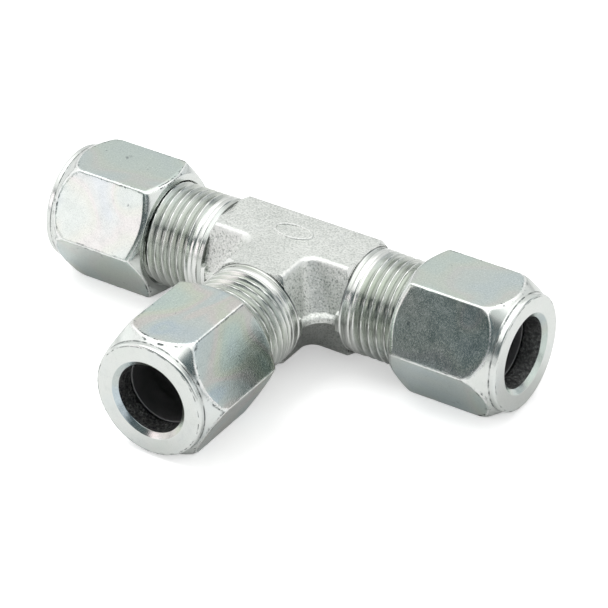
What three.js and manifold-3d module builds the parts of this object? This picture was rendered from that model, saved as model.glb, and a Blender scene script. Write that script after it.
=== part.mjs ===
// Flareless union tee for 1/2 in OD tube: one forged tee body with 24 degree cones, and on each of its three ports
// a single bite-type ferrule and a union nut on a 3/4-16 UNF right-hand thread.
// Millimetres, +Z up. The run lies along X, the branch points to -Y. The origin is the centre of the forging's
// underside pad, so the three port axes lie in the plane z = AXIS_H.
// Each port's parts are drawn about local +Y, which runs outward from the centre: "rear" faces the centre and
// "front" faces away. Profiles are lists of [radius, distance from the centre].
import * as THREE from "three";
import { mergeVertices } from "three/addons/utils/BufferGeometryUtils.js";
import Module from "manifold-3d";

const wasm = await Module();
wasm.setup();

// ---- driving dimensions -------------------------------------------------------------------------------------------
const INCH = 25.4;
const TUBE_R = (0.5 * INCH) / 2;
const TUBE_BORE_R = TUBE_R + 0.1; // tube socket and nut bore
const AXIS_H = 9.1; // port axes above the underside pad = half the forging's height
const OVERRUN = 0.2; // how far cutters run past an end face

// Thread, 3/4-16 UNF
const PITCH = INCH / 16;
const THREAD_OD = 0.75 * INCH;
const PITCH_R = THREAD_OD / 2 - 0.3248 * PITCH; // pitch-line radius
const FLANK = Math.tan(Math.PI / 6); // 60 degree thread
const FLANK_GAP = 0.07; // each side of the pitch line, so 0.14 mm between flanks
const THREAD_CLEAR_R = 12; // beyond every thread crest

const TURN_SEGS = 20; // facets round threaded surfaces
const ROUND_SEGS = 36; // facets round plain ones

// How many more turns each nut stands backed off than the drawn position; sixths of a turn keep its flats level.
const BACKED_OFF = { run_right: 0, run_left: 5 / 6, branch: 0 };

// ---- helpers ------------------------------------------------------------------------------------------------------
// A three.js geometry as a manifold solid, facing out.
function solid(geometry) {
  geometry.deleteAttribute("normal");
  geometry.deleteAttribute("uv");
  const merged = mergeVertices(geometry, 1e-4);
  const { position } = merged.attributes;
  const indices = merged.index.array;
  const corner = (i) => new THREE.Vector3().fromBufferAttribute(position, i);
  const triangles = [];
  let volume = 0; // six times the signed volume
  for (let i = 0; i < indices.length; i += 3) {
    const [a, b, c] = indices.slice(i, i + 3);
    if (a === b || b === c || a === c) continue;
    triangles.push(a, b, c);
    volume += corner(a).dot(corner(b).cross(corner(c)));
  }
  if (volume < 0) {
    for (let i = 0; i < triangles.length; i += 3) {
      [triangles[i + 1], triangles[i + 2]] = [triangles[i + 2], triangles[i + 1]];
    }
  }
  return new wasm.Manifold(
    new wasm.Mesh({
      numProp: 3,
      vertProperties: new Float32Array(position.array),
      triVerts: new Uint32Array(triangles),
    }),
  );
}

// A turned solid about local +Y from a profile that starts and ends on the axis, or closes on itself.
function turned(profile, segments) {
  const points = profile.map(([radius, distance]) => new THREE.Vector2(radius, distance));
  return solid(new THREE.LatheGeometry(points, segments));
}

// A threaded rod about local +Y: a strip one pitch wide, wound into a right-hand helix and closed on the axis at
// both ends. gap widens the groove on each flank. cutDepth(k) is how much of the thread's depth is cut at step k,
// with TURN_SEGS steps to a turn.
function threadedRod({ rootR, crestR, gap, firstTurn, lastTurn, cutDepth = () => 1 }) {
  const grooveHalf = (radius) => PITCH / 4 + (radius - PITCH_R) * FLANK + gap;
  // Across one pitch: [axial, radius]
  const columns = [
    [-grooveHalf(rootR), rootR],
    [grooveHalf(rootR), rootR],
    [grooveHalf(crestR), crestR],
    [PITCH - grooveHalf(crestR), crestR],
  ];
  const steps = (lastTurn - firstTurn) * TURN_SEGS;
  const heightAt = (k) => (firstTurn + k / TURN_SEGS) * PITCH;
  const points = [];
  const vertexIndex = new Map();

  // Index of the point in column c at step k; the strip's far edge is its near edge one turn on.
  const vertex = (c, k) => {
    if (c === columns.length) return vertex(0, k + TURN_SEGS);
    const key = columns.length * k + c;
    if (!vertexIndex.has(key)) {
      const [axial, fullRadius] = columns[c];
      const radius = crestR + (fullRadius - crestR) * cutDepth(k);
      const angle = (2 * Math.PI * (k % TURN_SEGS)) / TURN_SEGS;
      vertexIndex.set(key, points.length / 3);
      points.push(radius * Math.sin(angle), heightAt(k) + axial, radius * Math.cos(angle));
    }
    return vertexIndex.get(key);
  };

  const faces = [];
  for (let k = 0; k < steps; k++) {
    for (let c = 0; c < columns.length; c++) {
      const start = vertex(c, k);
      const across = vertex(c + 1, k);
      const opposite = vertex(c + 1, k + 1);
      const along = vertex(c, k + 1);
      faces.push(start, across, opposite, start, opposite, along);
    }
  }

  // End caps: a fan from the axis to the last turn of the strip's edge and the step between its two ends.
  for (const [endStep, isTop] of [[0, false], [steps, true]]) {
    const rim = [];
    for (let k = endStep; k <= endStep + TURN_SEGS; k++) rim.push(vertex(0, k));
    for (let c = columns.length - 1; c >= 1; c--) rim.push(vertex(c, endStep));
    const centre = points.length / 3;
    points.push(0, heightAt(endStep + TURN_SEGS / 2), 0);
    rim.forEach((current, i) => {
      const next = rim[(i + 1) % rim.length];
      faces.push(...(isTop ? [centre, next, current] : [centre, current, next]));
    });
  }

  const geometry = new THREE.BufferGeometry();
  geometry.setAttribute("position", new THREE.Float32BufferAttribute(points, 3));
  geometry.setIndex(faces);
  return solid(geometry);
}

// Port frames: local +Y runs outward along the port, local +Z stays up.
function portMatrix(x, y) {
  const outward = new THREE.Vector3(x, y, 0);
  const up = new THREE.Vector3(0, 0, 1);
  const side = new THREE.Vector3().crossVectors(outward, up);
  return new THREE.Matrix4().makeBasis(side, outward, up).setPosition(0, 0, AXIS_H);
}
const PORTS = {
  run_right: portMatrix(1, 0),
  run_left: portMatrix(-1, 0),
  branch: portMatrix(0, -1),
};
const placed = (body, matrix) => body.transform(matrix.elements);

// ---- forging ------------------------------------------------------------------------------------------------------
const BLOCK_END = 14.3; // end faces from the centre, on all three ports
const PAD_HALF = 4.9; // half-width of the flat pads on top and underneath
const BELLY_HALF = 9.35; // half-width at the parting line
const FLASH_HALF = 0.45; // half-height of the trimmed parting-line land
const FILLET_SEGS = 8;

// From the top pad down through a rounded bevel and a sloping wall to the parting-line land:
// [height above the parting line, half-width, inner corner fillet]
const UPPER_LEVELS = [
  [AXIS_H, PAD_HALF, 2.6],
  [AXIS_H - 0.14, PAD_HALF + 0.42, 2.5],
  [AXIS_H - 0.48, PAD_HALF + 0.78, 2.4],
  [AXIS_H - 0.95, PAD_HALF + 1.02, 2.4],
  [FLASH_HALF + 0.35, BELLY_HALF - 0.5, 3.9],
  [FLASH_HALF, BELLY_HALF, 4.3],
];
const LEVELS = [
  ...UPPER_LEVELS.map(([height, halfWidth, fillet]) => [-height, halfWidth, fillet]),
  ...[...UPPER_LEVELS].reverse(),
];

// Outline of the T at one height, as [x, y]: the -X half, then its mirror image.
function teeOutline(halfWidth, fillet) {
  const filletCentre = halfWidth + fillet;
  const half = [[-BLOCK_END, halfWidth], [-BLOCK_END, -halfWidth]];
  for (let i = 0; i <= FILLET_SEGS; i++) {
    const angle = Math.PI / 2 - (i * Math.PI) / (2 * FILLET_SEGS);
    half.push([
      -filletCentre + fillet * Math.cos(angle),
      -filletCentre + fillet * Math.sin(angle),
    ]);
  }
  half.push([-halfWidth, -BLOCK_END]);
  return [...half, ...half.map(([x, y]) => [-x, y]).reverse()];
}

// The lowest outline is extruded one step per level, then each point moves to its level's own outline and height.
function forging() {
  const outlines = LEVELS.map(([, halfWidth, fillet]) => teeOutline(halfWidth, fillet));
  const base = outlines[0];
  const shape = new THREE.Shape(base.map(([x, y]) => new THREE.Vector2(x, y)));
  const steps = LEVELS.length - 1;
  const geometry = new THREE.ExtrudeGeometry(shape, { depth: steps, steps, bevelEnabled: false });
  const { position } = geometry.attributes;
  for (let i = 0; i < position.count; i++) {
    const level = Math.round(position.getZ(i));
    const distances = base.map(([x, y]) => Math.hypot(x - position.getX(i), y - position.getY(i)));
    const nearest = distances.indexOf(Math.min(...distances));
    const [x, y] = outlines[level][nearest];
    position.setXYZ(i, x, y, AXIS_H + LEVELS[level][0]);
  }
  return solid(geometry);
}

// What is turned away from the forging's end around one stub: only the end's last few millimetres are touched.
function endTrim() {
  const depth = 4;
  const length = 12;
  const width = 40;
  const kept = turned(
    [
      [0, -BLOCK_END - 3],
      [14, -BLOCK_END - 3],
      [14, BLOCK_END - 4.2],
      [10.9, BLOCK_END - 1.1],
      [9.75, BLOCK_END - 0.05],
      [9.75, BLOCK_END + 0.05],
      [0, BLOCK_END + 0.05],
    ],
    ROUND_SEGS,
  );
  const box = new THREE.BoxGeometry(width, length, width);
  return solid(box.translate(0, BLOCK_END - depth + length / 2, 0)).subtract(kept);
}

// A plain raised oval ring on the top pad.
function ovalMark() {
  const radiusX = 3.9;
  const radiusY = 2.2;
  const ringWidth = 0.45;
  const centre = -0.6; // both x and y
  const sunk = 0.3;
  const raised = 0.2;
  const shape = new THREE.Shape();
  shape.absellipse(0, 0, radiusX, radiusY, 0, 2 * Math.PI, false, 0);
  const hole = new THREE.Path();
  hole.absellipse(0, 0, radiusX - ringWidth, radiusY - ringWidth, 0, 2 * Math.PI, true, 0);
  shape.holes.push(hole);
  const geometry = new THREE.ExtrudeGeometry(shape, {
    depth: sunk + raised,
    bevelEnabled: false,
    curveSegments: 14,
  });
  return solid(geometry.translate(centre, centre, 2 * AXIS_H - sunk));
}

// ---- stubs and bores ----------------------------------------------------------------------------------------------
const STUB_R = 9.45; // thread crests
const STUB_ROOT_R = 8.6;
const STUB_END = 32.5; // end face
const STUB_CHAMFER = 0.95; // 45 degrees
const COLLAR_R = 9.5; // smooth turned collar between the forging and the thread
const COLLAR_END = 17.2; // where the thread starts
const CONE_R = 7.45; // radius of the 24 degree cone at the stub's end face
const CONE_HALF_ANGLE = THREE.MathUtils.degToRad(12);
const SOCKET_STOP = 22.8; // shoulder the tube end stops on
const WATERWAY_R = 4.95; // through bores

function stub() {
  const fadeStart = 1.6 * TURN_SEGS;
  const fadeSteps = 0.35 * TURN_SEGS;
  const rod = threadedRod({
    rootR: STUB_ROOT_R,
    crestR: STUB_R,
    gap: FLANK_GAP,
    firstTurn: Math.floor(COLLAR_END / PITCH) - 1,
    lastTurn: Math.ceil(STUB_END / PITCH) + 1,
    cutDepth: (k) => Math.min(1, Math.max(0, (k - fadeStart) / fadeSteps)),
  });
  const threadRear = COLLAR_END - 0.5; // overlaps the collar
  const envelope = turned(
    [
      [0, threadRear],
      [THREAD_CLEAR_R, threadRear],
      [THREAD_CLEAR_R, STUB_END - STUB_CHAMFER - (THREAD_CLEAR_R - STUB_R)],
      [STUB_R - STUB_CHAMFER, STUB_END],
      [0, STUB_END],
    ],
    TURN_SEGS,
  );
  const collarRear = BLOCK_END - 0.04; // just inside the forging
  const collar = turned(
    [
      [0, collarRear],
      [COLLAR_R, collarRear],
      [COLLAR_R, COLLAR_END - 0.15],
      [COLLAR_R - 0.25, COLLAR_END],
      [0, COLLAR_END],
    ],
    ROUND_SEGS,
  );
  return rod.intersect(envelope).add(collar);
}

// Waterway, tube socket and cone of one port.
function portBore() {
  const waterwayRear = -2; // past the centre, so the three waterways meet
  const coneDepth = (CONE_R - TUBE_BORE_R) / Math.tan(CONE_HALF_ANGLE);
  return turned(
    [
      [0, waterwayRear],
      [WATERWAY_R, waterwayRear],
      [WATERWAY_R, SOCKET_STOP],
      [TUBE_BORE_R, SOCKET_STOP],
      [TUBE_BORE_R, STUB_END - coneDepth],
      [CONE_R, STUB_END],
      [CONE_R + 0.05, STUB_END + OVERRUN],
      [0, STUB_END + OVERRUN],
    ],
    ROUND_SEGS,
  );
}

function teeBody() {
  const matrices = Object.values(PORTS);
  const oneTrim = endTrim();
  const oneStub = stub();
  const oneBore = portBore();
  let body = forging();
  for (const matrix of matrices) body = body.subtract(placed(oneTrim, matrix));
  body = body.add(ovalMark());
  for (const matrix of matrices) body = body.add(placed(oneStub, matrix));
  for (const matrix of matrices) body = body.subtract(placed(oneBore, matrix));
  return body;
}

// ---- union nut ----------------------------------------------------------------------------------------------------
const NUT_AF = 0.875 * INCH; // across flats
const NUT_CORNER_R = NUT_AF / Math.sqrt(3);
const NUT_CLEAR_R = 13.4; // beyond the hexagon's corners
const NUT_REAR = 25.0;
const NUT_FRONT = 46.0;
const NUT_REAR_FACE_R = 10.9;
const NUT_REAR_SLOPE = 0.8; // rear chamfer, axial per radial
const BOSS_R = 10.6;
const BOSS_ROUND = 0.6;
const BOSS_ROUND_SEGS = 4;
// Front of the hexagon, [radius, distance]: steep at the corners, then a cone that leaves the flats and runs to
// the boss.
const NUT_SHOULDER = [[NUT_CLEAR_R, 39.2], [12.45, 42.2], [10.78, 44.45], [BOSS_R, 44.85]];

const NUT_MINOR_R = 8.8;
const NUT_MAJOR_R = 9.7;
const NUT_THREAD_END = 37.2; // full thread ends in a relief groove in front of it
const ENTRY_DEPTH = 1.05; // tapered mouth of the thread
const GROOVE_R = 9.9;
const GROOVE_END = 39.2;
const SEAT_R = 8.67; // wide end of the 45 degree seat
const SEAT_REAR = 39.8;
const COUNTERSINK_R = 7.4;
const COUNTERSINK_DEPTH = 0.7;

function nutBlank() {
  const hexLength = 30;
  const hexMiddle = 36;
  const hex = new THREE.CylinderGeometry(NUT_CORNER_R, NUT_CORNER_R, hexLength, 6, 1, false, Math.PI / 6);
  const frontRound = [];
  for (let i = 0; i <= BOSS_ROUND_SEGS; i++) {
    const angle = (i * Math.PI) / (2 * BOSS_ROUND_SEGS);
    frontRound.push([
      BOSS_R - BOSS_ROUND + BOSS_ROUND * Math.cos(angle),
      NUT_FRONT - BOSS_ROUND + BOSS_ROUND * Math.sin(angle),
    ]);
  }
  const envelope = turned(
    [
      [0, NUT_REAR],
      [NUT_REAR_FACE_R, NUT_REAR],
      [NUT_CLEAR_R, NUT_REAR + (NUT_CLEAR_R - NUT_REAR_FACE_R) * NUT_REAR_SLOPE],
      ...NUT_SHOULDER,
      ...frontRound,
      [0, NUT_FRONT],
    ],
    ROUND_SEGS,
  );
  return solid(hex.translate(0, hexMiddle, 0)).intersect(envelope);
}

// The nut's thread as a rod to cut away; the negative gap makes its ridges wider than the stub's.
function nutThread() {
  const rod = threadedRod({
    rootR: NUT_MINOR_R,
    crestR: NUT_MAJOR_R,
    gap: -FLANK_GAP,
    firstTurn: Math.floor(NUT_REAR / PITCH) - 2,
    lastTurn: Math.ceil(NUT_THREAD_END / PITCH) + 1,
  });
  const rear = NUT_REAR - 0.3;
  const envelope = turned(
    [[0, rear], [THREAD_CLEAR_R, rear], [THREAD_CLEAR_R, NUT_THREAD_END], [0, NUT_THREAD_END]],
    TURN_SEGS,
  );
  return rod.intersect(envelope);
}

function nut() {
  const entry = turned(
    [
      [0, NUT_REAR - OVERRUN],
      [NUT_MAJOR_R + 0.25, NUT_REAR - OVERRUN],
      [NUT_MINOR_R - 0.1, NUT_REAR + ENTRY_DEPTH],
      [0, NUT_REAR + ENTRY_DEPTH],
    ],
    TURN_SEGS,
  );
  const grooveRear = NUT_THREAD_END - 0.4; // overlaps the thread
  const frontBore = turned(
    [
      [0, grooveRear],
      [GROOVE_R, grooveRear],
      [GROOVE_R, GROOVE_END],
      [SEAT_R, SEAT_REAR],
      [TUBE_BORE_R, SEAT_REAR + (SEAT_R - TUBE_BORE_R)],
      [TUBE_BORE_R, NUT_FRONT - COUNTERSINK_DEPTH],
      [COUNTERSINK_R, NUT_FRONT],
      [COUNTERSINK_R + 0.25, NUT_FRONT + OVERRUN],
      [0, NUT_FRONT + OVERRUN],
    ],
    ROUND_SEGS,
  );
  return nutBlank().subtract(nutThread()).subtract(entry).subtract(frontBore);
}

// ---- ferrule ------------------------------------------------------------------------------------------------------
const FERRULE_NOSE = 32.25; // with the nut one turn off finger tight
const FERRULE_TAIL = 41.45;
const FERRULE_BORE_R = TUBE_R + 0.07;
const FERRULE_RELIEF_R = 6.62;
const FERRULE_BELLY_R = 7.9;
const FERRULE_TAIL_R = 6.8;

// Nose that enters the cone, belly, the 45 degree tail the nut pushes on, then back along the bore past the relief
// behind the cutting edges.
const FERRULE_PROFILE = [
  [FERRULE_BORE_R, FERRULE_NOSE],
  [6.9, FERRULE_NOSE],
  [6.95, FERRULE_NOSE + 0.1],
  [7.15, 35.2],
  [FERRULE_BELLY_R, 36.6],
  [FERRULE_BELLY_R, FERRULE_TAIL - (FERRULE_BELLY_R - FERRULE_TAIL_R)],
  [FERRULE_TAIL_R, FERRULE_TAIL],
  [FERRULE_BORE_R, FERRULE_TAIL],
  [FERRULE_BORE_R, 36.1],
  [FERRULE_RELIEF_R, 35.7],
  [FERRULE_RELIEF_R, 33.7],
  [FERRULE_BORE_R, 33.3],
  [FERRULE_BORE_R, FERRULE_NOSE],
];
const ferrule = () => turned(FERRULE_PROFILE, ROUND_SEGS);

// ---- assembly -----------------------------------------------------------------------------------------------------
const forgedSteel = new THREE.MeshStandardMaterial({ color: 0xc9ccc7, roughness: 0.55, metalness: 0.9 });
const platedSteel = new THREE.MeshStandardMaterial({ color: 0xc4cbc5, roughness: 0.28, metalness: 1.0 });
const darkSteel = new THREE.MeshStandardMaterial({ color: 0x33353a, roughness: 0.5, metalness: 0.8 });

function namedMesh(name, body, material) {
  const { vertProperties, triVerts } = body.getMesh();
  const geometry = new THREE.BufferGeometry();
  geometry.setAttribute("position", new THREE.BufferAttribute(new Float32Array(vertProperties), 3));
  geometry.setIndex(new THREE.BufferAttribute(new Uint32Array(triVerts), 1));
  geometry.computeVertexNormals();
  const mesh = new THREE.Mesh(geometry, material);
  mesh.name = name;
  return mesh;
}

const root = new THREE.Group();
root.name = "flareless_union_tee";
root.add(namedMesh("tee_body", teeBody(), forgedSteel));

const oneNut = nut();
const oneFerrule = ferrule();
for (const [port, matrix] of Object.entries(PORTS)) {
  // Backing off moves the ferrule out with its nut, and turns the nut with the thread.
  const turns = BACKED_OFF[port];
  const slide = new THREE.Matrix4().makeTranslation(0, turns * PITCH, 0);
  const turn = new THREE.Matrix4().makeRotationY(turns * 2 * Math.PI);
  const ferrulePlace = matrix.clone().multiply(slide);
  const nutPlace = ferrulePlace.clone().multiply(turn);
  root.add(namedMesh(port + "_ferrule", placed(oneFerrule, ferrulePlace), darkSteel));
  root.add(namedMesh(port + "_nut", placed(oneNut, nutPlace), platedSteel));
}

export default root;
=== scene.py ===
# Looks of the compression tee fitting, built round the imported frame: finely meshed forging, threads, nuts and ferrules
# that stand for the CAD nodes, procedural metal for each, and a light-tent stage.
import math

import bmesh
import bpy
import numpy as np
from mathutils import Matrix, Vector


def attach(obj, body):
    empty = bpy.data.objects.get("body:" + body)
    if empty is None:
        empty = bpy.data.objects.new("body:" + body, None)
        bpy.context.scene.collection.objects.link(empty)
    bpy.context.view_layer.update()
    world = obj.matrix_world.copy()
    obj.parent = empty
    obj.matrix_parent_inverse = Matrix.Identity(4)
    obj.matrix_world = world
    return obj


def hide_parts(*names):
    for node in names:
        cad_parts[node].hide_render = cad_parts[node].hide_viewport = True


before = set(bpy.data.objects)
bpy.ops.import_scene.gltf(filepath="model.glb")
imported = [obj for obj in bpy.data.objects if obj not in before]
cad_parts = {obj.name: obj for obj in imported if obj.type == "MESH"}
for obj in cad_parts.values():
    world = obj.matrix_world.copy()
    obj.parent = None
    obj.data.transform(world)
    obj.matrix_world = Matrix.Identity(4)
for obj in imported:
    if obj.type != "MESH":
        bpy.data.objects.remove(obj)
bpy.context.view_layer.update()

# ---- dimensions, millimetres ----------------------------------------------------------------------------------------
PITCH = 25.4 / 16
NUT_AF = 22.225
PAD_H = 9.1
BLOCK_END = 14.3
PAD_HALF = 4.9
BELLY_HALF = 9.35
FLASH_HALF = 0.45
STUB_R = 9.45
COLLAR_R = 9.5
COLLAR_END = 17.2
STUB_END = 32.5
CONE_R = 7.45
SOCKET_R = 6.45
SOCKET_STOP = 22.8
WATERWAY_R = 4.95
NUT_REAR = 25.0
NUT_FRONT = 46.0
NUT_REAR_FACE_R = 10.9
NUT_REAR_SLOPE = 0.8
BOSS_R = 10.6
BOSS_ROUND = 0.6
NUT_THREAD_END = 37.2
NUT_BORE_R = 6.45
ENTRY_R = 9.75
COUNTERSINK_R = 7.4
COUNTERSINK_DEPTH = 0.7
MARK_AT = (-0.6, -0.6)
MARK_SIZE = (3.675, 1.975)
PITCH_R = 9.525 - 0.3248 * PITCH
FLANK = math.tan(math.pi / 6)
FLANK_GAP = 0.07
EXT_ROOT_R = 8.6
INT_MINOR_R = 8.8
INT_MAJOR_R = 9.7
FERRULE_NOSE = 32.25
FERRULE_TAIL = 41.45
FERRULE_R_IN = 6.42
BACKED_OFF = {"run_right": 0.0, "run_left": 5 / 6, "branch": 0.0}

# Port frames: rows are side, outward and up in the row frame.
PORTS = {}
for port, out in (("run_right", (1, 0, 0)), ("run_left", (-1, 0, 0)), ("branch", (0, -1, 0))):
    o = np.array(out, float)
    up = np.array((0.0, 0.0, 1.0))
    PORTS[port] = np.stack([np.cross(o, up), o, up])


# ---- mesh helpers -----------------------------------------------------------------------------------------------------
def to_world(port, phi, s, r):
    """Points at angle phi (from up towards side), distance s along the port and radius r, in metres."""
    side, out, up = PORTS[port]
    p = (
        (r * np.sin(phi))[..., None] * side
        + (s + 0 * r)[..., None] * out
        + (r * np.cos(phi))[..., None] * up
    )
    p[..., 2] += PAD_H
    return p / 1000.0


def new_object(name, verts, faces, materials=(), face_material=None, sharp=32.0, fields=None):
    mesh = bpy.data.meshes.new(name)
    mesh.from_pydata(np.asarray(verts).reshape(-1, 3).tolist(), [], [list(map(int, f)) for f in faces])
    for key, values in (fields or {}).items():
        mesh.attributes.new(key, "FLOAT", "POINT").data.foreach_set("value", np.asarray(values, np.float32).reshape(-1))
    obj = bpy.data.objects.new(name, mesh)
    bpy.context.scene.collection.objects.link(obj)
    for m in materials:
        mesh.materials.append(m)
    if face_material is not None:
        mesh.polygons.foreach_set("material_index", np.asarray(face_material, np.int32))
    mesh.update()
    outwards(mesh)
    finish_shading(mesh, sharp)
    return obj


def signed_volume(mesh):
    mesh.calc_loop_triangles()
    co = np.zeros(len(mesh.vertices) * 3)
    mesh.vertices.foreach_get("co", co)
    co = co.reshape(-1, 3)
    tri = np.zeros(len(mesh.loop_triangles) * 3, np.int32)
    mesh.loop_triangles.foreach_get("vertices", tri)
    a, b, c = (co[tri.reshape(-1, 3)[:, i]] for i in range(3))
    return float(np.einsum("ij,ij->i", a, np.cross(b, c)).sum()) / 6


def outwards(mesh):
    if signed_volume(mesh) < 0:
        mesh.flip_normals()
        mesh.update()


def finish_shading(mesh, sharp):
    mesh.shade_smooth()
    mesh.set_sharp_from_angle(angle=math.radians(sharp))


def ring_faces(rows, cols, closed_rows=False):
    """Quads of a grid whose columns close on themselves."""
    i, j = np.meshgrid(np.arange(rows if closed_rows else rows - 1), np.arange(cols), indexing="ij")
    i2, j2 = (i + 1) % rows, (j + 1) % cols
    return np.stack([i * cols + j, i * cols + j2, i2 * cols + j2, i2 * cols + j], -1).reshape(-1, 4)


def smin(a, b, k):
    h = np.clip(0.5 + 0.5 * (b - a) / k, 0, 1)
    return b * (1 - h) + a * h - k * h * (1 - h)


def smax(a, b, k):
    return -smin(-a, -b, k)


def rounded(points, closed=False):
    """A polyline of (s, r, corner radius) with its corners replaced by arcs. Returns [(s, r)]."""
    out = []
    n = len(points)
    for i, (s, r, rad) in enumerate(points):
        p = np.array((s, r), float)
        if rad <= 0 or (not closed and i in (0, n - 1)):
            out.append(p)
            continue
        a = np.array(points[(i - 1) % n][:2], float) - p
        b = np.array(points[(i + 1) % n][:2], float) - p
        la, lb = np.linalg.norm(a), np.linalg.norm(b)
        a, b = a / la, b / lb
        half = math.acos(max(-1, min(1, float(a @ b)))) / 2
        if half > math.radians(87):
            out.append(p)
            continue
        reach = min(rad / math.tan(half), 0.45 * la, 0.45 * lb)
        rr = reach * math.tan(half)
        centre = p + (a + b) / np.linalg.norm(a + b) * (rr / math.sin(half))
        v0, v1 = p + a * reach - centre, p + b * reach - centre
        turn = math.pi - 2 * half
        steps = max(2, int(math.ceil(math.degrees(turn) / 15)))
        sign = math.copysign(1, v0[0] * v1[1] - v0[1] * v1[0])
        for k in range(steps + 1):
            t = sign * turn * k / steps
            out.append(centre + np.array((v0[0] * math.cos(t) - v0[1] * math.sin(t), v0[0] * math.sin(t) + v0[1] * math.cos(t))))
    return out


def resampled(points, spacing, closed=False):
    """Adds points along each leg so that none is longer than spacing(s, r)."""
    out = []
    n = len(points)
    for i in range(n if closed else n - 1):
        a, b = np.array(points[i]), np.array(points[(i + 1) % n])
        length = float(np.linalg.norm(b - a))
        steps = max(1, int(math.ceil(length / spacing((a + b) / 2))))
        for k in range(steps):
            out.append(a + (b - a) * k / steps)
    if not closed:
        out.append(np.array(points[-1]))
    return np.array(out)


def lathe(name, port, profile, cols, shift=0.0, **kw):
    """A turned piece from a closed profile, or from an open one that starts and ends on the axis."""
    phi = np.linspace(0, 2 * math.pi, cols, endpoint=False)
    prof = np.asarray(profile, float)
    open_ended = prof[0][1] == 0 and prof[-1][1] == 0
    body = prof[1:-1] if open_ended else prof
    s, r = body[:, 0] + shift, body[:, 1]
    pts = to_world(port, np.broadcast_to(phi, (len(s), cols)), np.broadcast_to(s[:, None], (len(s), cols)), np.broadcast_to(r[:, None], (len(s), cols)))
    faces = ring_faces(len(s), cols, closed_rows=not open_ended).tolist()
    verts = pts.reshape(-1, 3)
    if open_ended:
        verts, faces = capped(port, verts, faces, len(s), cols, prof[0][0] + shift, prof[-1][0] + shift)
    return new_object(name, verts, faces, **kw)


def capped(port, verts, faces, rows, cols, s0, s1):
    zero = np.zeros(1)
    c0 = to_world(port, zero, np.array([s0]), zero)[0]
    c1 = to_world(port, zero, np.array([s1]), zero)[0]
    n = len(verts)
    verts = np.vstack([verts, c0, c1])
    faces = list(faces)
    last = (rows - 1) * cols
    for j in range(cols):
        k = (j + 1) % cols
        faces.append((n, k, j))
        faces.append((n + 1, last + j, last + k))
    return verts, faces


def boolean(obj, others, operation):
    for other in others:
        m = obj.modifiers.new("cut", "BOOLEAN")
        m.solver = "MANIFOLD"
        m.operation = operation
        m.object = other
    bpy.context.view_layer.update()
    done = bpy.data.meshes.new_from_object(obj.evaluated_get(bpy.context.evaluated_depsgraph_get()))
    obj.modifiers.clear()
    old = obj.data
    obj.data = done
    bpy.data.meshes.remove(old)
    for other in others:
        m = other.data
        bpy.data.objects.remove(other)
        bpy.data.meshes.remove(m)


def tidy(mesh):
    """Clears the slivers and specks that cutting leaves behind."""
    bm = bmesh.new()
    bm.from_mesh(mesh)
    bmesh.ops.triangulate(bm, faces=[f for f in bm.faces if len(f.verts) > 4])
    for _ in range(3):
        bmesh.ops.dissolve_degenerate(bm, dist=4e-6, edges=bm.edges)
        bmesh.ops.triangulate(bm, faces=[f for f in bm.faces if len(f.verts) > 4])
    seen = set()
    for first in list(bm.faces):
        if first in seen:
            continue
        island, queue = [], [first]
        seen.add(first)
        while queue:
            face = queue.pop()
            island.append(face)
            for edge in face.edges:
                for other in edge.link_faces:
                    if other not in seen:
                        seen.add(other)
                        queue.append(other)
        if len(island) < 200:
            bmesh.ops.delete(bm, geom=island, context="FACES")
    loose = [v for v in bm.verts if not v.link_faces]
    bmesh.ops.delete(bm, geom=loose, context="VERTS")
    bm.to_mesh(mesh)
    bm.free()
    mesh.update()


def hash01(*v):
    x = math.sin(sum((i + 1) * 12.9898 * a for i, a in enumerate(v)) + 78.233) * 43758.5453
    return x - math.floor(x)


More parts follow.
